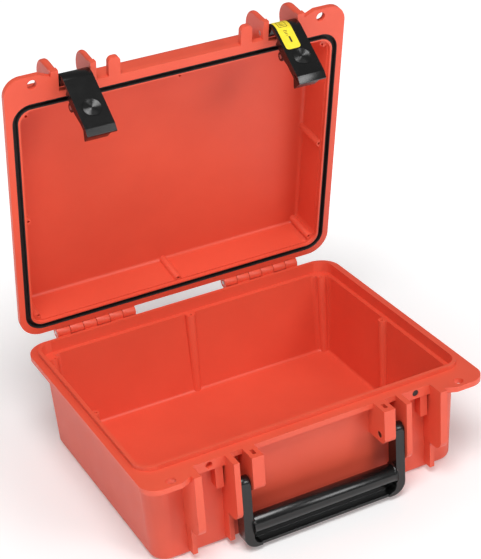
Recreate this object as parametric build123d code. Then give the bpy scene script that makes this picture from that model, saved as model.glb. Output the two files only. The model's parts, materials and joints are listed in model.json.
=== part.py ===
from build123d import *
import math
import os

# Hard-shell first aid case with a hinged lid, two draw latches and a carrying handle.
# Millimetres.  +X runs to the right along the hinge, +Y to the back, +Z up.
# The origin is on the underside, below the centre of the opening.
# The lid and the latches are drawn shut, then turned to where they stand open.

# ---------------------------------------------------------------- seal and opening
seal_half_length = 124.0
seal_half_width = 95.25
seal_corner_radius = 12.0
tongue_width = 2.6
tongue_top = 80.0
groove_width = 4.2
groove_top = 82.0
gasket_wall = 0.5
gasket_side_gap = 0.05
gasket_web_low = 80.7

# ---------------------------------------------------------------- base tub
draft = 2.4
tub_half_length = 119.3
tub_front = -94.5
tub_back = 90.4
tub_corner_radius = 12.0
tub_edge_radius = 5.0
inside_half_length = 116.4
inside_front = -90.0
inside_back = 87.0
inside_corner_radius = 9.0
inside_edge_radius = 2.5
floor_top = 3.0
ledge_height = 71.1
neck_low = 67.5
neck_flare = 35.0
neck_front = -92.0
neck_corner_radius = 10.0

# ---------------------------------------------------------------- screw bosses
base_boss_radius = 3.6
base_boss_inset = 1.6
lid_boss_radius = 3.0
boss_corner_inset = 3.2
boss_hole_radius = 1.1
boss_hole_depth = 9.0
boss_hole_shift = 1.2

# ---------------------------------------------------------------- rims
rim_low = 72.7
rim_top = 76.8
rim_half_length = 130.8
rim_back = 102.2
rim_middle_front = -104.3
rim_back_radius = 17.0
ear_front = -118.4
ear_corner_radius = 13.0
ear_shoulder_y = -114.6
ear_shoulder_run = 8.5
padlock_x = 110.5
padlock_y = -112.0
padlock_radius = 3.5

# ---------------------------------------------------------------- latch bays
bay_inner_wall = (64.0, 68.2)
bay_outer_wall = (91.5, 97.0)
bay_centre = (bay_inner_wall[1] + bay_outer_wall[0]) / 2
bay_inner_wall_low = 29.6
bay_outer_wall_low = 28.0
bay_wall_corner_radius = 8.0
bay_rib_width = 3.6
bay_rib_front = -103.0
bay_rib_low = 5.5
base_bay_front = -105.0
bay_lip_back = -100.5
bay_lip_low = 69.1
bay_hole_z = 73.4
bay_hole_radius = 2.5
bay_hole_depth = 3.5
bay_plug_depth = 2.9
strike_offset = (4.4, 10.0)
strike_front = -104.0
strike_low = 52.8
strike_bead = (1.2, 0.8)
wall_root = -93.0

# ---------------------------------------------------------------- lid
lid_low = 76.95
lid_rim_top = 81.1
lid_bay_front = -102.0
lid_shoulder_top = 83.6
lid_shoulder_wall = 1.3
lid_top = 110.6
lid_half_length = 123.2
lid_half_width = 95.2
lid_top_radius = 5.0
lid_inside_half_length = 119.5
lid_inside_half_width = 91.2
lid_inside_top = 108.05
lid_mouth_step = 1.0
lid_boss_low = 79.8
lid_ear_radius = 13.0
lid_ear_edge_radius = 1.9
lid_ear_y = ear_front + lid_ear_radius
lid_ear_z = 92.0
stub_corner_radius = 3.6

# ---------------------------------------------------------------- hinge
hinge_y = 107.1
hinge_z = 78.5
knuckle_radius = 4.5
knuckle_count = 6
knuckle_outer_x = 103.0
knuckle_inner_x = 38.4
knuckle_gap = 0.4
hinge_pin_radius = 1.5
running_gap = 0.05
lid_open_angle = 78.34

# ---------------------------------------------------------------- latches
# Outlines are (y, z) from the latch pivot, with the latch shut and upright.
pivot_y = -107.0
pivot_z = 82.5
latch_rest_inward = 27.3
lever_half_width = 10.75
lever_face = 11.5
lever_thickness = 2.4
lever_crown_z = -8.0
lever_hub_radius = 4.2
lever_lip_z = -47.0
lever_lip_set_back = 1.7
lever_end = -52.0
web_low = -4.6
cheek_width = 2.0
cheek_top = -14.2
cheek_depth = 4.6
cheek_low = -44.0
catch_pin_y = -2.5
catch_pin_z = -23.7
catch_lobe_radius = 3.3
catch_pin_radius = 1.6
pivot_pin_radius = 2.0
dimple_z = -32.0
dimple_radius = 6.6
dimple_depth = 0.5
dimple_ring_width = 1.6
dimple_gap = 1.0
catch_half_width = 8.4
catch_hub_radius = 2.9
catch_hub_half_width = 5.4
catch_hub_room = 4.0
catch_arm_front = -4.1
catch_arm_back = -1.3
catch_arm_low = -42.0
finger_low = -49.4
finger_tip = (4.6, -47.2)
finger_thickness = 1.2
nose_width = (4.6, 8.2)
nose_top = -30.8
nose_hook = (4.4, -30.0)
nose_tip = (6.0, -31.2)
nose_low = -34.4
spring_coil_radius = 2.5
spring_wire_radius = 0.3
spring_pitch = 0.7
spring_turns = 3
label_thickness = 0.2
label_left = 71.2
label_right = 82.8
label_low_z = -24.8
label_corner_radius = 2.4

# ---------------------------------------------------------------- handle
handle_pivot_y = -111.5
handle_pivot_z = 55.2
post_inner = 46.2
post_outer = 55.0
post_low = 49.5
post_low_radius = 5.0
post_slot = (2.6, 5.6, 5.0)
arm_inner = 56.0
arm_outer = 63.2
arm_depth = 10.0
handle_low = 4.0
handle_corner_radius = 10.0
strap_thickness = 2.2
strap_depth = 8.0
strap_web_thickness = 1.4
grip_radius = 6.75
grip_z = 20.5
handle_pin_radius = 2.5
handle_pin_inner = 46.6
handle_pin_outer = 67.6


def both_sides(shape):
    """The shape with its mirror image across the middle of the case."""
    return shape + mirror(shape, about=Plane.YZ)


def block(x_range, y_range, z_range):
    """Box between two limits on each axis."""
    size = [high - low for low, high in (x_range, y_range, z_range)]
    middle = [(high + low) / 2 for low, high in (x_range, y_range, z_range)]
    return Pos(*middle) * Box(*size)


def rounded_prism(half_length, y_range, z_range, radius, taper=0.0):
    """Upright prism with round corners; a negative taper widens it upwards."""
    width = y_range[1] - y_range[0]
    outline = Pos(0, sum(y_range) / 2, z_range[0]) * RectangleRounded(2 * half_length, width, radius)
    return extrude(outline, z_range[1] - z_range[0], taper=taper)


def seal_ring(width, z_low, z_high):
    """Band of the given width that follows the seal line."""
    rings = []
    for offset in (width / 2, -width / 2):
        rings.append(RectangleRounded(
            2 * (seal_half_length + offset),
            2 * (seal_half_width + offset),
            seal_corner_radius + offset,
        ))
    return extrude(Pos(0, 0, z_low) * (rings[0] - rings[1]), z_high - z_low)


def pin_along_x(x_range, y, z, radius):
    """Round bar along X between two limits."""
    middle = (x_range[0] + x_range[1]) / 2
    return Pos(middle, y, z) * Rot(0, 90, 0) * Cylinder(radius, x_range[1] - x_range[0])


def side_profile(face, x_range):
    """Prism between two X limits whose outline is drawn as (y, z)."""
    return Pos(x_range[0], 0, 0) * extrude(Plane.YZ * face, x_range[1] - x_range[0])


def rim_plate(bay_front, z_low, z_high, extras=()):
    """Flat rim: set back in the middle and in the bays, eared at the front corners."""
    plate = Pos(0, (rim_back + rim_middle_front) / 2) * Rectangle(
        2 * rim_half_length, rim_back - rim_middle_front)
    plate = fillet(plate.vertices().group_by(Axis.Y)[-1], rim_back_radius)
    bay_x = (bay_inner_wall[0], bay_outer_wall[1])
    ear = Polyline(
        (bay_x[1], rim_middle_front + 10),
        (bay_x[1], ear_shoulder_y),
        (bay_x[1] + ear_shoulder_run, ear_front),
        (rim_half_length, ear_front),
        (rim_half_length, rim_middle_front + 10),
        close=True,
    )
    ear = make_face(ear)
    tip = ear.vertices().filter_by(lambda v: v.X > rim_half_length - 1 and v.Y < ear_front + 1)
    ear = fillet(tip, ear_corner_radius)
    plate += both_sides(ear)
    for x_low, x_high in (bay_inner_wall, bay_outer_wall):
        wall = Pos((x_low + x_high) / 2, (ear_front + rim_middle_front + 10) / 2) * Rectangle(
            x_high - x_low, rim_middle_front + 10 - ear_front)
        plate += both_sides(wall)
    bay_middle = (bay_inner_wall[1], bay_outer_wall[0])
    opening = Pos(sum(bay_middle) / 2, (ear_front - 5 + bay_front) / 2) * Rectangle(
        bay_middle[1] - bay_middle[0], bay_front - ear_front + 5)
    filler = Pos(sum(bay_middle) / 2, (rim_middle_front + 10 + ear_front) / 2) * Rectangle(
        bay_middle[1] - bay_middle[0], rim_middle_front + 10 - ear_front)
    plate = plate + both_sides(filler) - both_sides(opening)
    for extra in extras:
        plate += both_sides(extra)
    holes = both_sides(Pos(padlock_x, padlock_y) * Circle(padlock_radius))
    return extrude(Pos(0, 0, z_low) * (plate - holes), z_high - z_low)


def wall_bosses(radius, half_length, y_range, z_range):
    """Half-round screw bosses at the corners and the middles of the walls, with their places."""
    y_front, y_back = y_range
    spots = [
        (0, y_front), (0, y_back),
        (half_length, (y_front + y_back) / 2),
        (half_length - boss_corner_inset, y_front + boss_corner_inset),
        (half_length - boss_corner_inset, y_back - boss_corner_inset),
    ]
    bosses = Sketch()
    for x, y in spots:
        bosses += both_sides(Pos(x, y) * Circle(radius))
    return extrude(Pos(0, 0, z_range[0]) * bosses, z_range[1] - z_range[0]), spots


def boss_holes(spots, z_open, inward):
    """Blind screw holes at the open ends of the bosses, moved in from the wall."""
    holes = Part()
    for x, y in spots:
        shift_x = -boss_hole_shift if x > 0 else 0
        shift_y = -math.copysign(boss_hole_shift, y) if abs(y) > seal_half_width / 2 else 0
        hole = Pos(x + shift_x, y + shift_y, z_open + inward * boss_hole_depth / 2) * Cylinder(
            boss_hole_radius, boss_hole_depth)
        holes += both_sides(hole)
    return holes


def knuckles(first, web_z):
    """Every second hinge knuckle of both groups, with the webs that carry them."""
    pitch = (knuckle_outer_x - knuckle_inner_x) / knuckle_count
    result = Part()
    for index in range(first, knuckle_count, 2):
        x_high = knuckle_outer_x - index * pitch - knuckle_gap / 2
        x_range = (x_high - pitch + knuckle_gap, x_high)
        barrel = pin_along_x(x_range, hinge_y, hinge_z, knuckle_radius)
        web = block(x_range, (rim_back - 3, hinge_y), web_z)
        result += both_sides(barrel + web)
    return result


def hinge_bore():
    """Bore for the hinge pins, right through both groups of knuckles."""
    x_range = (knuckle_inner_x - 1, knuckle_outer_x + 1)
    return both_sides(pin_along_x(x_range, hinge_y, hinge_z, hinge_pin_radius + running_gap))


def bay_walls():
    """Upright walls on both sides of each latch bay, with a slim rib below."""
    result = Part()
    for (x_low, x_high), low in (
            (bay_inner_wall, bay_inner_wall_low), (bay_outer_wall, bay_outer_wall_low)):
        face = Pos((ear_front + wall_root) / 2, (low + rim_top) / 2) * Rectangle(
            wall_root - ear_front, rim_top - low)
        corner = face.vertices().filter_by(lambda v: v.X < wall_root - 5 and v.Y < rim_low - 5)
        wall = side_profile(fillet(corner, bay_wall_corner_radius), (x_low, x_high))
        middle = (x_low + x_high) / 2
        rib_x = (middle - bay_rib_width / 2, middle + bay_rib_width / 2)
        rib = block(rib_x, (bay_rib_front, wall_root + 1), (bay_rib_low, low + 1))
        result += both_sides(wall + rib)
    return result


def handle_posts():
    """Posts beside the handle's arms, with a cored slot in the top."""
    face = Pos((ear_front + wall_root) / 2, (post_low + rim_top) / 2) * Rectangle(
        wall_root - ear_front, rim_top - post_low)
    corner = face.vertices().filter_by(lambda v: v.X < wall_root - 5 and v.Y < post_low + 1)
    post = side_profile(fillet(corner, post_low_radius), (post_inner, post_outer))
    slot = Pos((post_inner + post_outer) / 2, handle_pivot_y, rim_top) * Box(
        post_slot[0], post_slot[1], 2 * post_slot[2])
    return both_sides(post - slot)


def bay_lips():
    """Deep lip across each bay, down from the rim's front edge."""
    x_range = (bay_inner_wall[1] - 0.5, bay_outer_wall[0] + 0.5)
    return both_sides(block(x_range, (base_bay_front, bay_lip_back), (bay_lip_low, rim_low + 0.5)))


def strike_ribs():
    """Rib under each lip, with a bead at its foot that the catch hooks behind; not mirrored."""
    result = Part()
    for side in (-1, 1):
        x_range = (side * bay_centre + strike_offset[0], side * bay_centre + strike_offset[1])
        result += block(x_range, (strike_front, wall_root), (strike_low, bay_lip_low + 1))
        bead_y = (strike_front, strike_front + strike_bead[0])
        result += block(x_range, bead_y, (strike_low - strike_bead[1], strike_low + 1))
    return result


def bay_hole_bar(side, y_range):
    """Round bar along Y in the middle of a bay's lip."""
    middle = sum(y_range) / 2
    return Pos(side * bay_centre, middle, bay_hole_z) * Rot(90, 0, 0) * Cylinder(
        bay_hole_radius, y_range[1] - y_range[0])


def bay_plug():
    """Soft plug in the right bay's hole, sunk a little below the lip's face."""
    bottom = base_bay_front + bay_hole_depth
    return bay_hole_bar(1, (bottom - bay_plug_depth, bottom))


def neck():
    """Flare under the rim that carries the side and back walls out to the sealing tongue."""
    reach = neck_low * math.tan(math.radians(draft))
    return rounded_prism(
        tub_half_length + reach, (neck_front, tub_back + reach), (neck_low, rim_low + 0.5),
        neck_corner_radius, -neck_flare)


def base_shell():
    """Tub with its rim, sealing tongue, latch bays, handle posts and hinge knuckles."""
    tub = rounded_prism(
        tub_half_length, (tub_front, tub_back), (0, rim_low + 1), tub_corner_radius, -draft)
    tub = fillet(tub.edges().group_by(Axis.Z)[0], tub_edge_radius)
    cavity = rounded_prism(
        inside_half_length, (inside_front, inside_back), (floor_top, ledge_height),
        inside_corner_radius, -draft)
    cavity = fillet(cavity.edges().group_by(Axis.Z)[0], inside_edge_radius)
    mouth = rounded_prism(
        seal_half_length - tongue_width / 2,
        (-seal_half_width + tongue_width / 2, seal_half_width - tongue_width / 2),
        (ledge_height, tongue_top + 1), seal_corner_radius - tongue_width / 2)
    shell = tub + neck() + rim_plate(base_bay_front, rim_low, rim_top)
    shell += seal_ring(tongue_width, rim_low, tongue_top)
    shell += bay_walls() + handle_posts()
    shell += knuckles(0, (rim_low, rim_top))
    shell -= cavity
    shell -= mouth
    bosses, spots = wall_bosses(
        base_boss_radius, inside_half_length + base_boss_inset,
        (inside_front - base_boss_inset, inside_back + base_boss_inset), (floor_top - 0.5, ledge_height))
    shell += bosses & tub
    shell -= boss_holes(spots, ledge_height, -1)
    shell += bay_lips() + strike_ribs()
    hole_y = (base_bay_front - 1, base_bay_front + bay_hole_depth)
    shell -= bay_hole_bar(-1, hole_y) + bay_hole_bar(1, hole_y)
    pin_x = (post_inner - 1, handle_pin_outer + 0.2)
    shell -= both_sides(pin_along_x(pin_x, handle_pivot_y, handle_pivot_z, handle_pin_radius + running_gap))
    return shell - hinge_bore()


def lid_ears():
    """Round-topped ears that carry the latch pivots."""
    face = Pos(lid_ear_y, lid_ear_z) * Circle(lid_ear_radius)
    foot = Pos((lid_ear_y - lid_ear_radius + wall_root) / 2, (lid_low + lid_ear_z) / 2) * Rectangle(
        wall_root - lid_ear_y + lid_ear_radius, lid_ear_z - lid_low)
    root = Pos((lid_ear_y + wall_root) / 2, lid_ear_z + 4) * Rectangle(wall_root - lid_ear_y, 8)
    face = face + foot + root
    face -= Pos(wall_root + 10, lid_ear_z) * Rectangle(20, 60)
    result = Part()
    for x_range in (bay_inner_wall, bay_outer_wall):
        ear = side_profile(face, x_range)
        round_edges = ear.edges().filter_by(GeomType.CIRCLE)
        result += both_sides(fillet(round_edges, lid_ear_edge_radius))
    return result


def lid_shell():
    """Lid, drawn shut: shallow tray with the seal groove, ears, tabs and knuckles."""
    y_range = (-lid_half_width, lid_half_width)
    body = rounded_prism(lid_half_length, y_range, (lid_low + 1, lid_top), tub_corner_radius, draft)
    body = fillet(body.edges().group_by(Axis.Z)[-1], lid_top_radius)
    shoulder_reach = groove_width / 2 + lid_shoulder_wall
    shoulder = rounded_prism(
        seal_half_length + shoulder_reach,
        (-seal_half_width - shoulder_reach, seal_half_width + shoulder_reach),
        (lid_low, lid_shoulder_top), seal_corner_radius + shoulder_reach)
    stub = Pos((post_inner + post_outer) / 2, (ear_front + rim_middle_front + 4) / 2) * Rectangle(
        post_outer - post_inner, rim_middle_front + 4 - ear_front)
    stub = fillet(stub.vertices().group_by(Axis.Y)[0], stub_corner_radius)
    shell = body + shoulder + rim_plate(lid_bay_front, lid_low, lid_rim_top, extras=(stub,))
    shell += lid_ears() + knuckles(1, (lid_low, lid_rim_top))
    inside = (-lid_inside_half_width, lid_inside_half_width)
    cavity = rounded_prism(
        lid_inside_half_length, inside, (lid_low - 1, lid_inside_top), inside_corner_radius)
    cavity = fillet(cavity.edges().group_by(Axis.Z)[-1], inside_edge_radius)
    mouth = rounded_prism(
        lid_inside_half_length + lid_mouth_step,
        (-lid_inside_half_width - lid_mouth_step, lid_inside_half_width + lid_mouth_step),
        (lid_low - 1, lid_boss_low), inside_corner_radius + lid_mouth_step)
    shell -= cavity + mouth
    bosses, spots = wall_bosses(
        lid_boss_radius, lid_inside_half_length, inside, (lid_boss_low, lid_inside_top + 0.5))
    shell += bosses & body
    shell -= boss_holes(spots, lid_boss_low, 1)
    shell -= seal_ring(groove_width, lid_low - 1, groove_top)
    pin_x = (bay_inner_wall[0] - 1, bay_outer_wall[1])
    shell -= both_sides(pin_along_x(pin_x, pivot_y, pivot_z, pivot_pin_radius + running_gap))
    return shell - hinge_bore()


def lid_gasket():
    """Channel-section rubber seal that lines the lid's groove."""
    outer = groove_width - 2 * gasket_side_gap
    seal = seal_ring(outer, lid_low, groove_top - gasket_side_gap)
    return seal - seal_ring(outer - 2 * gasket_wall, lid_low - 1, gasket_web_low)


def lever_profile():
    """Latch lever seen from the side: face plate, round crown and pivot hub."""
    back = lever_face - lever_thickness
    outside = Polyline(
        (-lever_face, lever_crown_z),
        (-lever_face, lever_lip_z),
        (-lever_face + lever_lip_set_back, lever_end),
        (-back + lever_lip_set_back * 0.5, lever_end),
        (-back, lever_lip_z),
        (-back, web_low),
        (0, web_low),
        (0, lever_crown_z + lever_face),
    )
    crown = RadiusArc((0, lever_crown_z + lever_face), (-lever_face, lever_crown_z), -lever_face)
    return make_face(outside + crown) + Circle(lever_hub_radius)


def cheek_profile():
    """Side cheek of the lever, with a round lobe for the catch pin."""
    back = lever_face - lever_thickness
    cheek = Polyline(
        (-back - 0.5, cheek_top),
        (-cheek_depth, cheek_top),
        (-cheek_depth, catch_pin_z - 6),
        (-back + 0.6, cheek_low),
        (-back - 0.5, cheek_low),
        close=True,
    )
    return make_face(cheek) + Pos(catch_pin_y, catch_pin_z) * Circle(catch_lobe_radius)


def lever():
    """Latch lever about its own pivot, shut."""
    x_range = (-lever_half_width, lever_half_width)
    body = side_profile(lever_profile(), x_range)
    for x_low in (-lever_half_width, lever_half_width - cheek_width):
        body += side_profile(cheek_profile(), (x_low, x_low + cheek_width))
    ring_inner = dimple_radius - dimple_ring_width
    ring = Cylinder(dimple_radius, 2 * dimple_depth) - Cylinder(ring_inner, 4 * dimple_depth)
    centre = Cylinder(ring_inner - dimple_gap, 2 * dimple_depth)
    body -= Pos(0, -lever_face, dimple_z) * Rot(90, 0, 0) * (ring + centre)
    body -= pin_along_x(x_range, 0, 0, pivot_pin_radius + running_gap)
    return body - pin_along_x(x_range, catch_pin_y, catch_pin_z, catch_pin_radius)


def catch():
    """Sprung catch: hub and arm, a finger piece below and a hook nose to one side."""
    arm = Polyline(
        (catch_arm_front, catch_pin_z),
        (catch_arm_front, finger_low),
        finger_tip,
        (finger_tip[0] - 0.4, finger_tip[1] + finger_thickness),
        (catch_arm_back, catch_arm_low),
        (catch_arm_back, catch_pin_z),
        close=True,
    )
    x_range = (-catch_half_width, catch_half_width)
    body = side_profile(make_face(arm), x_range)
    hub_x = (-catch_hub_half_width, catch_hub_half_width)
    body += pin_along_x(hub_x, catch_pin_y, catch_pin_z, catch_hub_radius)
    nose = Polyline(
        (catch_arm_back - 1, nose_top),
        (nose_hook[0], nose_top),
        (nose_hook[0] + 0.2, nose_hook[1]),
        (nose_tip[0] - 0.4, nose_hook[1]),
        nose_tip,
        (nose_tip[0] - 3, nose_low + 1),
        (catch_arm_back - 1, nose_low),
        close=True,
    )
    body += side_profile(make_face(nose), nose_width)
    room_y = (catch_arm_front - 1, catch_pin_y + catch_hub_radius + 1)
    room_z = (catch_pin_z - catch_hub_room, catch_pin_z + catch_hub_room)
    body -= block((catch_hub_half_width, catch_half_width + 1), room_y, room_z)
    body -= block((-catch_half_width - 1, -catch_hub_half_width), room_y, room_z)
    return body - pin_along_x(x_range, catch_pin_y, catch_pin_z, catch_pin_radius + running_gap)


def catch_spring():
    """Wound spring beside the catch's hub."""
    height = spring_pitch * spring_turns
    path = Helix(spring_pitch, height, spring_coil_radius)
    wire = Plane(origin=path @ 0, z_dir=path % 0) * Circle(spring_wire_radius)
    coil = sweep(wire, path=path, is_frenet=True)
    start = (catch_hub_half_width + lever_half_width - cheek_width - height) / 2
    return Pos(start, catch_pin_y, catch_pin_z) * Rot(0, 90, 0) * coil


def latch_label():
    """Thin label that follows the crown and the top of the lever's face."""
    outside = lever_face + label_thickness
    path = Polyline((-lever_face, lever_crown_z), (-lever_face, label_low_z), (-outside, label_low_z),
                    (-outside, lever_crown_z))
    flat = make_face(path + Line((-outside, lever_crown_z), (-lever_face, lever_crown_z)))
    ring = Pos(0, lever_crown_z) * (Circle(outside) - Circle(lever_face))
    quarter = Pos(-outside / 2, lever_crown_z + outside / 2) * Rectangle(outside, outside)
    crown = ring & quarter
    crown -= Pos(0, lever_crown_z + outside) * Rectangle(2 * outside * 0.28, 8)
    label = side_profile(flat + crown, (label_left - bay_centre, label_right - bay_centre))
    low_corners = label.edges().filter_by(Axis.Y).group_by(Axis.Z)[0]
    return fillet(low_corners, label_corner_radius)


def handle_frame():
    """U-shaped bail with round heads, and a strap with a back web under the grip."""
    height = handle_pivot_z - handle_low
    outline = Pos(0, handle_low + height / 2) * Rectangle(2 * arm_outer, height)
    outline = fillet(outline.vertices().group_by(Axis.Y)[0], handle_corner_radius)
    window_height = height - strap_thickness + 10
    window = Pos(0, handle_low + strap_thickness + window_height / 2) * Rectangle(
        2 * arm_inner, window_height)
    window = fillet(window.vertices().group_by(Axis.Y)[0], handle_corner_radius - 4)
    frame = extrude(Plane.XZ * (outline - window), arm_depth / 2, both=True)
    frame = Pos(0, handle_pivot_y, 0) * frame
    relief = block(
        (-arm_inner + 6, arm_inner - 6),
        (handle_pivot_y - arm_depth, handle_pivot_y - strap_depth / 2),
        (0, handle_low + strap_thickness + 1))
    frame -= relief + mirror(relief, about=Plane.XZ.offset(-handle_pivot_y))
    web_back = handle_pivot_y + strap_depth / 2
    frame += block(
        (-arm_inner, arm_inner), (web_back - strap_web_thickness, web_back), (handle_low + 1, grip_z))
    frame -= pin_along_x((-arm_inner, arm_inner), handle_pivot_y, grip_z, grip_radius)
    head = pin_along_x((arm_inner, arm_outer), handle_pivot_y, handle_pivot_z, arm_depth / 2)
    frame += both_sides(head)
    hole = pin_along_x(
        (arm_inner - 1, arm_outer + 1), handle_pivot_y, handle_pivot_z, handle_pin_radius + running_gap)
    return frame - both_sides(hole)


def place_latch(shape, side):
    """Move a latch piece to its bay, swung inward, with the lid open."""
    placed = Pos(side * bay_centre, pivot_y, pivot_z) * shape
    pivot = Axis((0, pivot_y, pivot_z), (1, 0, 0))
    return open_lid(placed.rotate(pivot, latch_rest_inward))


def open_lid(shape):
    """Turn a piece that is drawn shut up about the hinge."""
    return shape.rotate(Axis((0, hinge_y, hinge_z), (1, 0, 0)), -lid_open_angle)


def build():
    """All nodes by name."""
    nodes = {
        "base_shell": base_shell(),
        "lid_shell": open_lid(lid_shell()),
        "lid_gasket": open_lid(lid_gasket()),
        "handle_frame": handle_frame(),
        "handle_grip": pin_along_x((-arm_inner, arm_inner), handle_pivot_y, grip_z, grip_radius),
        "latch_label": place_latch(latch_label(), 1),
        "bay_plug": bay_plug(),
    }
    hinge_pin = pin_along_x((knuckle_inner_x, knuckle_outer_x), hinge_y, hinge_z, hinge_pin_radius)
    handle_pin = pin_along_x(
        (handle_pin_inner, handle_pin_outer), handle_pivot_y, handle_pivot_z, handle_pin_radius)
    pivot_length = bay_outer_wall[1] - bay_inner_wall[0] - 0.4
    offset = (bay_inner_wall[0] + bay_outer_wall[1]) / 2 - bay_centre
    for name, side in (("left", -1), ("right", 1)):
        pivot_x = (side * offset - pivot_length / 2, side * offset + pivot_length / 2)
        catch_pin_x = (-lever_half_width, lever_half_width)
        latch_pieces = {
            "lever": lever(),
            "catch": catch(),
            "catch_spring": catch_spring(),
            "pivot_pin": pin_along_x(pivot_x, 0, 0, pivot_pin_radius),
            "catch_pin": pin_along_x(catch_pin_x, catch_pin_y, catch_pin_z, catch_pin_radius),
        }
        for piece, shape in latch_pieces.items():
            nodes[f"latch_{piece}_{name}"] = place_latch(shape, side)
        for piece, shape in (("hinge_pin", hinge_pin), ("handle_pin", handle_pin)):
            nodes[f"{piece}_{name}"] = shape if side > 0 else mirror(shape, about=Plane.YZ)
    return nodes


os.makedirs("parts", exist_ok=True)
for node_name, node_shape in build().items():
    export_step(node_shape, f"parts/{node_name}.step")
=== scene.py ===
import json
import math

import bmesh
import bpy
from mathutils import Matrix, Vector


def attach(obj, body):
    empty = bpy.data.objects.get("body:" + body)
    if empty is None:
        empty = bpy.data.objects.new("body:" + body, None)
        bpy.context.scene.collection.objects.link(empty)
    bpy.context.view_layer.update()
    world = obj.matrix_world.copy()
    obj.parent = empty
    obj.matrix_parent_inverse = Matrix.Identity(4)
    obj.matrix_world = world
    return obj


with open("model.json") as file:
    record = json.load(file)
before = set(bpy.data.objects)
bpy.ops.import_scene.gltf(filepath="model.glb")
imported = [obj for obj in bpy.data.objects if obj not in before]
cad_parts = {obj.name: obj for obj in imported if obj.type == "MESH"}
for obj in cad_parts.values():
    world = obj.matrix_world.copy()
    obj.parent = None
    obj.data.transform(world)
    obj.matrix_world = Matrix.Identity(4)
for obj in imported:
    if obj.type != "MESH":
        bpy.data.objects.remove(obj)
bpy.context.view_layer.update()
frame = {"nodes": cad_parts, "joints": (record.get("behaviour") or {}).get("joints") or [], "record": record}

nodes = frame["nodes"]
joints = {joint["name"]: joint for joint in frame["joints"]}

# Noise values at which a clouded colour is fully dark and fully light.
CLOUD_DARK = 0.3
CLOUD_LIGHT = 0.7

# Camera: bearing and height of the eye, tilt of the frame, and where it looks.
CAMERA_BEARING = math.radians(-25.158)
CAMERA_HEIGHT = math.radians(28.395)
CAMERA_TILT = math.radians(-4.323)
CAMERA_DISTANCE = 1.12206
CAMERA_TARGET = Vector((-0.00405, 0.0, 0.12831))
CAMERA_LENS = 102.27
CAMERA_SHIFT = (0.0134, 0.0294)

# The floor lies just below the case, far out to every side.
FLOOR_REACH = 6.0
FLOOR_DROP = 0.0002

# The floor's own glow rises into a white backdrop between these distances from the case.
FLOOR_GLOW_NEAR = 0.14
FLOOR_GLOW_FAR = 0.50
FLOOR_GLOW_LOW = 0.16
FLOOR_GLOW_HIGH = 0.75

# Brightness of the surround, and the soft lights: place, size and power.
SURROUND_STRENGTH = 0.18
LIGHT_AIM = (0.0, 0.0, 0.10)
LIGHTS = {
    "key_light": ((0.70, -1.42, 1.02), 0.60, 9.0),
    "top_light": ((-0.35, -0.65, 1.40), 0.70, 16.0),
    "left_light": ((-1.60, -0.60, 0.70), 0.90, 1.5),
}

# Latch geometry shared with the CAD model, in metres and about the lever's own pivot.
# At rest the lever is folded inward while the lid that carries it stands open.
LEVER_FACE = 0.0115
CROWN_Z = -0.008
DIMPLE_Z = -0.032
DIMPLE_RADIUS = 0.0065
DIMPLE_FLOOR = -0.00045
LABEL_LOW_Z = -0.0248
LABEL_LEFT = -0.00865
LABEL_THICKNESS = 0.0002
FOLDED_INWARD = math.radians(27.3)
LID_OPEN = math.radians(78.34)
REST_TURN = FOLDED_INWARD - LID_OPEN

# Turned finger disc on each lever.
DISC_GROOVES = 13
DISC_GROOVE_DEPTH = 0.00007
DISC_RIM_HEIGHT = 0.00022
DISC_HUB_HEIGHT = 0.00008
DISC_HUB_RADIUS = 0.0004
DISC_STEPS = 72

# Printed marks: how far the ink stands out, the length of its steps round the crown,
# the width of a line and the height of a dash.
INK_LIFT = 0.00004
INK_STEP = 0.0006
INK_LINE = 0.0004
INK_DASH = 0.0005

# Handle geometry shared with the CAD model.
GRIP_RADIUS = 0.00675
GRIP_HALF_LENGTH = 0.056
GRIP_Y = -0.1115
GRIP_Z = 0.0205

# Cove between the grip and each arm.
COVE_RADIUS = 0.0014
COVE_RISE = 0.8
COVE_STEPS = 7
COLLAR_OVERLAP = 0.0002
COLLAR_STEPS = 64

# Edge rounding of the CAD meshes: by material slot, and for all other slots.
WELD_DISTANCE = 0.00001
FLAT_ANGLE = math.radians(1.0)
ROUND_WIDTH = {"shell_orange": 0.0004}
ROUND_WIDTH_OTHER = 0.00025
ROUND_ANGLE = {"shell_orange": math.radians(32)}
ROUND_ANGLE_OTHER = math.radians(15)


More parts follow.
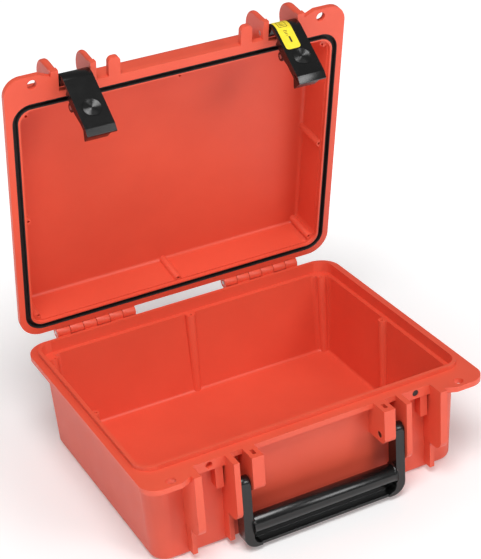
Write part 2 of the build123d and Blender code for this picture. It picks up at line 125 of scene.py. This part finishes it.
# ---------------------------------------------------------------- materials
class Graph:
    """Small helper that adds and links shader nodes."""

    def __init__(self, name):
        self.material = bpy.data.materials.new(name)
        self.material.use_nodes = True
        self.tree = self.material.node_tree
        self.shader = self.tree.nodes["Principled BSDF"]
        self.place = self.add("ShaderNodeTexCoord").outputs["Object"]

    def add(self, kind, **values):
        """A node; each value goes to the socket of that name, or else to the property."""
        node = self.tree.nodes.new(kind)
        for key, value in values.items():
            if key in node.inputs:
                node.inputs[key].default_value = value
            else:
                setattr(node, key, value)
        return node

    def link(self, source, target):
        self.tree.links.new(source, target)

    def noise(self, scale, detail=3.0, roughness=0.55):
        """Noise in object space, as a factor output."""
        node = self.add("ShaderNodeTexNoise", Scale=scale, Detail=detail, Roughness=roughness)
        self.link(self.place, node.inputs["Vector"])
        return node.outputs["Fac"]

    def colour(self, factor, dark, light):
        """Base colour that clouds from dark to light with the factor."""
        node = self.add("ShaderNodeValToRGB")
        self.link(factor, node.inputs["Fac"])
        stops = ((CLOUD_DARK, dark), (CLOUD_LIGHT, light))
        for element, (position, tint) in zip(node.color_ramp.elements, stops):
            element.position = position
            element.color = (*tint, 1.0)
        self.link(node.outputs["Color"], self.shader.inputs["Base Color"])

    def roughness(self, factor, smooth, rough):
        """Roughness between two values, by a 0 to 1 factor."""
        node = self.add("ShaderNodeMapRange")
        self.link(factor, node.inputs["Value"])
        node.inputs["To Min"].default_value = smooth
        node.inputs["To Max"].default_value = rough
        self.link(node.outputs["Result"], self.shader.inputs["Roughness"])

    def bump(self, heights):
        """Chain of bumps, each a (height, strength, distance)."""
        normal = None
        for height, strength, distance in heights:
            node = self.add("ShaderNodeBump", Strength=strength, Distance=distance)
            self.link(height, node.inputs["Height"])
            if normal is not None:
                self.link(normal, node.inputs["Normal"])
            normal = node.outputs["Normal"]
        self.link(normal, self.shader.inputs["Normal"])


def orange_plastic():
    """Moulded polypropylene: even orange, faint flow clouding and a fine spark-eroded grain."""
    graph = Graph("orange_moulded_plastic")
    graph.colour(graph.noise(14.0, 4.0), (0.740, 0.090, 0.046), (0.800, 0.105, 0.054))
    graph.roughness(graph.noise(40.0), 0.40, 0.52)
    graph.shader.inputs["IOR"].default_value = 1.49
    graph.shader.inputs["Subsurface Weight"].default_value = 0.06
    graph.shader.inputs["Subsurface Radius"].default_value = (0.004, 0.0012, 0.0006)
    graph.bump([(graph.noise(2600.0, 2.0), 0.10, 0.00005), (graph.noise(24.0, 2.0), 0.05, 0.0006)])
    return graph.material


def black_plastic():
    """Glass-filled nylon: near black, soft gloss with flow marks and fine grain."""
    graph = Graph("black_moulded_plastic")
    graph.colour(graph.noise(60.0, 4.0), (0.003, 0.003, 0.003), (0.006, 0.006, 0.006))
    graph.roughness(graph.noise(220.0), 0.20, 0.30)
    graph.shader.inputs["IOR"].default_value = 1.53
    graph.bump([(graph.noise(3000.0, 2.0), 0.12, 0.00004)])
    return graph.material


def seal_rubber():
    """Black seal rubber with a dull bloom."""
    graph = Graph("seal_rubber")
    graph.colour(graph.noise(120.0, 4.0), (0.012, 0.009, 0.009), (0.026, 0.020, 0.019))
    graph.roughness(graph.noise(300.0), 0.55, 0.75)
    graph.bump([(graph.noise(1800.0, 3.0), 0.25, 0.00005)])
    return graph.material


def steel():
    """Drawn stainless steel with marks round the bar."""
    graph = Graph("drawn_steel")
    graph.shader.inputs["Metallic"].default_value = 1.0
    stretched = graph.add("ShaderNodeMapping")
    stretched.inputs["Scale"].default_value = (40.0, 1200.0, 1200.0)
    graph.link(graph.place, stretched.inputs["Vector"])
    marks = graph.add("ShaderNodeTexNoise", Scale=1.0, Detail=3.0)
    graph.link(stretched.outputs["Vector"], marks.inputs["Vector"])
    graph.colour(marks.outputs["Fac"], (0.46, 0.46, 0.47), (0.62, 0.62, 0.63))
    graph.roughness(marks.outputs["Fac"], 0.22, 0.40)
    graph.bump([(marks.outputs["Fac"], 0.15, 0.00005)])
    return graph.material


def label_film():
    """Yellow printed film, slightly uneven ink under a satin laminate."""
    graph = Graph("yellow_label_film")
    graph.colour(graph.noise(400.0, 3.0), (0.88, 0.68, 0.030), (0.95, 0.77, 0.050))
    graph.roughness(graph.noise(150.0), 0.32, 0.45)
    graph.bump([(graph.noise(900.0, 2.0), 0.08, 0.00004)])
    return graph.material


def label_ink():
    """Dark printed ink on the label."""
    graph = Graph("label_ink")
    graph.colour(graph.noise(900.0, 3.0), (0.020, 0.016, 0.010), (0.055, 0.045, 0.020))
    graph.roughness(graph.noise(400.0), 0.40, 0.55)
    graph.bump([(graph.noise(1500.0, 2.0), 0.08, 0.00003)])
    return graph.material


materials = {
    "shell_orange": orange_plastic(),
    "black_plastic": black_plastic(),
    "seal_rubber": seal_rubber(),
    "steel_pin": steel(),
    "yellow_label": label_film(),
}
ink = label_ink()

slot_of = {part["node"]: part["material_slot"] for part in frame["record"]["subparts"]}


def dress_node(name, node):
    """Give a CAD node its material and softly rounded moulded edges."""
    slot_name = slot_of[name]
    node.data.materials.clear()
    node.data.materials.append(materials[slot_name])
    weld = node.modifiers.new("weld", "WELD")
    weld.merge_threshold = WELD_DISTANCE
    flat = node.modifiers.new("flat", "DECIMATE")
    flat.decimate_type = "DISSOLVE"
    flat.angle_limit = FLAT_ANGLE
    edge = node.modifiers.new("edge", "BEVEL")
    edge.width = ROUND_WIDTH.get(slot_name, ROUND_WIDTH_OTHER)
    edge.segments = 2
    edge.limit_method = "ANGLE"
    edge.angle_limit = ROUND_ANGLE.get(slot_name, ROUND_ANGLE_OTHER)
    edge.harden_normals = True


for node_name, cad_node in nodes.items():
    dress_node(node_name, cad_node)


# ---------------------------------------------------------------- pieces
def latch_place(side):
    """Matrix from a lever's own frame to where the lever stands at rest."""
    pivot = Vector(joints[f"latch_swing_{side}"]["pos_m"])
    return Matrix.Translation(pivot) @ Matrix.Rotation(REST_TURN, 4, "X")


def new_piece(name, mesh_data, material, body):
    """Object from a bmesh, with its material and body."""
    bmesh.ops.recalc_face_normals(mesh_data, faces=mesh_data.faces)
    mesh = bpy.data.meshes.new(name)
    mesh_data.to_mesh(mesh)
    mesh_data.free()
    mesh.materials.append(material)
    piece = bpy.data.objects.new(name, mesh)
    bpy.context.scene.collection.objects.link(piece)
    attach(piece, body)


def lathe(mesh_data, profile, point_at, steps):
    """Ring-shaped solid: a closed profile of (radius, height) turned about an axis by point_at."""
    rings = []
    for radius, height in profile:
        ring = []
        for index in range(steps):
            angle = 2 * math.pi * index / steps
            ring.append(mesh_data.verts.new(point_at(radius, angle, height)))
        rings.append(ring)
    for ring, following in zip(rings, rings[1:] + rings[:1]):
        for index in range(steps):
            after = (index + 1) % steps
            mesh_data.faces.new((ring[index], ring[after], following[after], following[index]))


def turned_disc(side):
    """Finger spot of a lever: a dished disc with concentric turning grooves."""
    place = latch_place(side)

    def point_at(radius, angle, height):
        local = Vector((
            radius * math.cos(angle), -LEVER_FACE - height, DIMPLE_Z + radius * math.sin(angle)))
        return place @ local

    pitch = (DIMPLE_RADIUS - DISC_HUB_RADIUS) / DISC_GROOVES
    profile = [(DISC_HUB_RADIUS, DIMPLE_FLOOR)]
    for index in range(DISC_GROOVES):
        inner = DISC_HUB_RADIUS + index * pitch
        outward = index / (DISC_GROOVES - 1)
        dish = DISC_HUB_HEIGHT + (DISC_RIM_HEIGHT - DISC_HUB_HEIGHT) * outward ** 2
        profile.append((inner, dish))
        profile.append((inner + 0.5 * pitch, dish - DISC_GROOVE_DEPTH))
    profile.append((DIMPLE_RADIUS, DISC_RIM_HEIGHT))
    profile.append((DIMPLE_RADIUS, DIMPLE_FLOOR))
    mesh_data = bmesh.new()
    lathe(mesh_data, profile, point_at, DISC_STEPS)
    name = f"lever_disc_{side}"
    new_piece(name, mesh_data, materials["black_plastic"], f"latch_{side}")


def label_point(place, across, along, lift):
    """Point over the label: along runs up the flat from its low edge, then round the crown."""
    reach = LEVER_FACE + LABEL_THICKNESS + lift
    flat = CROWN_Z - LABEL_LOW_Z
    if along <= flat:
        return place @ Vector((LABEL_LEFT + across, -reach, LABEL_LOW_Z + along))
    angle = (along - flat) / LEVER_FACE
    return place @ Vector((
        LABEL_LEFT + across, -reach * math.cos(angle), CROWN_Z + reach * math.sin(angle)))


def ink_bar(mesh_data, place, across, along):
    """Raised strip of ink between two limits across and along the label."""
    steps = max(1, math.ceil((along[1] - along[0]) / INK_STEP))
    rows = []
    for index in range(steps + 1):
        distance = along[0] + (along[1] - along[0]) * index / steps
        corners = (
            (across[0], -INK_LIFT), (across[1], -INK_LIFT), (across[1], INK_LIFT), (across[0], INK_LIFT))
        rows.append([
            mesh_data.verts.new(label_point(place, x, distance, height)) for x, height in corners])
    for row, following in zip(rows, rows[1:]):
        for index in range(4):
            after = (index + 1) % 4
            mesh_data.faces.new((row[index], row[after], following[after], following[index]))
    mesh_data.faces.new(rows[0])
    mesh_data.faces.new(reversed(rows[-1]))


def label_marks():
    """Generic print on the label: a framed square, short dashes and one bold bar."""
    place = latch_place("right")
    mesh_data = bmesh.new()
    square_left, square_right = 0.0022, 0.0088
    square_low, square_high = 0.0185, 0.0250
    inside = (square_left + INK_LINE, square_right - INK_LINE)
    ink_bar(mesh_data, place, (square_left, inside[0]), (square_low, square_high))
    ink_bar(mesh_data, place, (inside[1], square_right), (square_low, square_high))
    ink_bar(mesh_data, place, inside, (square_low, square_low + INK_LINE))
    ink_bar(mesh_data, place, inside, (square_high - INK_LINE, square_high))
    # Dashes inside the square, each shorter than the one below.
    for row in range(3):
        low = square_low + 0.0015 + row * 0.0014
        ink_bar(mesh_data, place, (0.0034, 0.0076 - 0.0010 * row), (low, low + INK_DASH))
    # Column of dashes below the square, each wider than the one below.
    for row in range(4):
        low = 0.0112 + row * 0.0013
        ink_bar(mesh_data, place, (0.0048 - 0.0003 * row, 0.0062 + 0.0002 * row), (low, low + INK_DASH))
    # Bold bar at the foot.
    ink_bar(mesh_data, place, (0.0057, 0.0071), (0.0054, 0.0102))
    new_piece("label_marks", mesh_data, ink, "latch_right")


def grip_collar(side):
    """Cove where the round grip runs out into the handle's arm."""
    sign = -1 if side == "left" else 1

    def point_at(radius, angle, height):
        return Vector((
            sign * (GRIP_HALF_LENGTH - height), GRIP_Y + radius * math.cos(angle),
            GRIP_Z + radius * math.sin(angle)))

    inner = GRIP_RADIUS - 2 * COLLAR_OVERLAP
    profile = [(inner, -COLLAR_OVERLAP), (inner, COVE_RADIUS)]
    for index in range(COVE_STEPS + 1):
        angle = math.pi / 2 * index / COVE_STEPS
        radius = GRIP_RADIUS + COVE_RADIUS * (1 - math.cos(angle)) * COVE_RISE
        profile.append((radius, COVE_RADIUS * (1 - math.sin(angle))))
    profile.append((profile[-1][0], -COLLAR_OVERLAP))
    mesh_data = bmesh.new()
    lathe(mesh_data, profile, point_at, COLLAR_STEPS)
    name = f"grip_collar_{side}"
    new_piece(name, mesh_data, materials["black_plastic"], "handle")


for latch_side in ("left", "right"):
    turned_disc(latch_side)
    grip_collar(latch_side)
label_marks()


# ---------------------------------------------------------------- studio
def soft_light(name, place, size, power):
    """Square white soft light at a place, aimed at the case."""
    lamp = bpy.data.lights.new(name, "AREA")
    lamp.size = size
    lamp.energy = power
    holder = bpy.data.objects.new(name, lamp)
    holder.location = place
    holder.rotation_mode = "QUATERNION"
    holder.rotation_quaternion = (Vector(LIGHT_AIM) - Vector(place)).to_track_quat("-Z", "Y")
    bpy.context.scene.collection.objects.link(holder)


def studio():
    """White floor, dim white surround and three soft lights."""
    world = bpy.data.worlds.new("white_surround")
    bpy.context.scene.world = world
    world.use_nodes = True
    background = world.node_tree.nodes["Background"]
    background.inputs["Color"].default_value = (1.0, 1.0, 1.0, 1.0)
    background.inputs["Strength"].default_value = SURROUND_STRENGTH

    floor_mesh = bpy.data.meshes.new("floor")
    reach = FLOOR_REACH
    floor_mesh.from_pydata(
        [(-reach, -reach, 0), (reach, -reach, 0), (reach, reach, 0), (-reach, reach, 0)],
        [], [(0, 1, 2, 3)])
    floor = bpy.data.objects.new("floor", floor_mesh)
    bpy.context.scene.collection.objects.link(floor)
    floor.location.z = -FLOOR_DROP
    graph = Graph("pale_floor")
    graph.colour(graph.noise(6.0), (0.85, 0.85, 0.85), (0.87, 0.87, 0.87))
    graph.shader.inputs["Roughness"].default_value = 0.9
    graph.shader.inputs["Specular IOR Level"].default_value = 0.1
    graph.shader.inputs["Emission Color"].default_value = (1.0, 1.0, 1.0, 1.0)
    distance = graph.add("ShaderNodeVectorMath", operation="LENGTH")
    graph.link(graph.place, distance.inputs[0])
    glow = graph.add("ShaderNodeMapRange")
    graph.link(distance.outputs["Value"], glow.inputs["Value"])
    glow.inputs["From Min"].default_value = FLOOR_GLOW_NEAR
    glow.inputs["From Max"].default_value = FLOOR_GLOW_FAR
    glow.inputs["To Min"].default_value = FLOOR_GLOW_LOW
    glow.inputs["To Max"].default_value = FLOOR_GLOW_HIGH
    graph.link(glow.outputs["Result"], graph.shader.inputs["Emission Strength"])
    floor.data.materials.append(graph.material)

    for name, (place, size, power) in LIGHTS.items():
        soft_light(name, place, size, power)


def camera():
    """Camera at the product view's bearing, height and slight tilt."""
    bearing, height, tilt = CAMERA_BEARING, CAMERA_HEIGHT, CAMERA_TILT
    back = Vector((
        math.sin(bearing) * math.cos(height),
        -math.cos(bearing) * math.cos(height),
        math.sin(height)))
    right = Vector((math.cos(bearing), math.sin(bearing), 0.0))
    up = back.cross(right)
    tilted_right = right * math.cos(tilt) + up * math.sin(tilt)
    tilted_up = up * math.cos(tilt) - right * math.sin(tilt)
    data = bpy.data.cameras.new("camera")
    data.lens = CAMERA_LENS
    data.sensor_width = 36.0
    data.shift_x, data.shift_y = CAMERA_SHIFT
    data.clip_start = 0.01
    data.clip_end = 50.0
    holder = bpy.data.objects.new("camera", data)
    turn = Matrix((tilted_right, tilted_up, back)).transposed()
    holder.matrix_world = Matrix.Translation(CAMERA_TARGET + back * CAMERA_DISTANCE) @ turn.to_4x4()
    bpy.context.scene.collection.objects.link(holder)
    bpy.context.scene.camera = holder


studio()
camera()
bpy.context.scene.view_settings.view_transform = "Standard"
